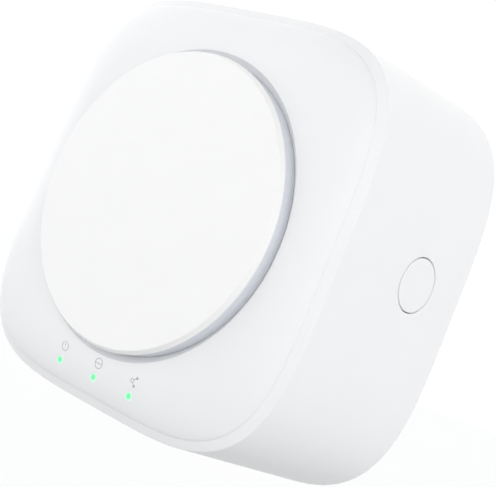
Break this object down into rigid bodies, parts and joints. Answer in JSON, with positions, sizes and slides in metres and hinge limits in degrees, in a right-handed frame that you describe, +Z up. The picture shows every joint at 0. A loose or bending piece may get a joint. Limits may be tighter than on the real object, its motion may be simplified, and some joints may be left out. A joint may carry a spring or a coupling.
{
  "type": "wifi range extender",
  "caption": "Plug-in network range extender: rounded square body, raised round front cover, flush side push button, status lights, network socket below and flat mains blades behind.",
  "frame": {"origin": "centre of the flat back face, where it rests on the wall plate", "axes": "+Y into the wall, out of the back face; the front faces -Y; +Z up; +X towards the side with the push button"},
  "size_m": [0.0838, 0.062, 0.0838],
  "materials": {
    "shell_white": "smooth white moulded plastic with a soft gloss",
    "disc_white": "white plastic with a satin finish",
    "button_white": "smooth white moulded plastic",
    "trim_silver": "bright silver plated ring",
    "plug_white": "white heat-resistant plastic",
    "blade_nickel": "nickel-plated brass",
    "plated_steel": "plated sheet or wire steel",
    "black_plastic": "black moulded plastic",
    "board_green": "green glass-fibre circuit board",
    "ferrite_grey": "dark sintered ferrite",
    "winding_tape": "amber tape over wire",
    "capacitor_sleeve": "dark shrink sleeve",
    "enamelled_copper": "enamelled copper wire on a toroid",
    "fuse_ceramic": "off-white ceramic",
    "barrier_film": "pale insulating film",
    "thermal_pad_blue": "soft blue silicone pad",
    "spreader_aluminium": "plain folded sheet",
    "coax_sheath": "thin dark cable sheath",
    "light_pipe": "clear acrylic lit green from behind",
    "led_body": "small surface-mount LED"
  },
  "bodies": {
    "extender_body": {"main_housing": "shell_white", "front_panel": "shell_white", "rear_cover": "shell_white", "disc_cover": "disc_white", "disc_trim_ring": "trim_silver", "plug_base": "plug_white", "plug_blade_left": "blade_nickel", "plug_blade_right": "blade_nickel", "cover_screw_1": "plated_steel", "cover_screw_2": "plated_steel", "cover_screw_3": "plated_steel", "cover_screw_4": "plated_steel", "board_screw_left": "plated_steel", "board_screw_right": "plated_steel", "rf_shield_left": "plated_steel", "rf_shield_right": "plated_steel", "lan_jack_shell": "plated_steel", "wps_switch_body": "plated_steel", "reset_switch_body": "plated_steel", "lan_jack_insert": "black_plastic", "power_link_header": "black_plastic", "radio_chip": "black_plastic", "processor_chip": "black_plastic", "main_board": "board_green", "power_board": "board_green", "antenna_left": "board_green", "antenna_right": "board_green", "transformer_core": "ferrite_grey", "transformer_winding": "winding_tape", "input_capacitor": "capacitor_sleeve", "output_capacitor": "capacitor_sleeve", "line_choke": "enamelled_copper", "fuse": "fuse_ceramic", "insulating_barrier": "barrier_film", "thermal_pad_left": "thermal_pad_blue", "thermal_pad_right": "thermal_pad_blue", "heat_spreader": "spreader_aluminium", "antenna_cable_left": "coax_sheath", "antenna_cable_right": "coax_sheath", "light_guide": "light_pipe", "status_led_left": "led_body", "status_led_middle": "led_body", "status_led_right": "led_body"},
    "side_button": {"wps_button_cap": "button_white", "wps_switch_plunger": "black_plastic"},
    "reset_pin": {"reset_plunger": "black_plastic"}
  },
  "joints": [
    {"name": "side_button_press", "type": "slide", "parent": "extender_body", "child": "side_button", "axis": [-1, 0, 0], "range_m": [0, 0.0006], "stiffness_N_per_m": 2500},
    {"name": "reset_press", "type": "slide", "parent": "extender_body", "child": "reset_pin", "axis": [0, 0, 1], "range_m": [0, 0.0004], "stiffness_N_per_m": 2500}
  ]
}
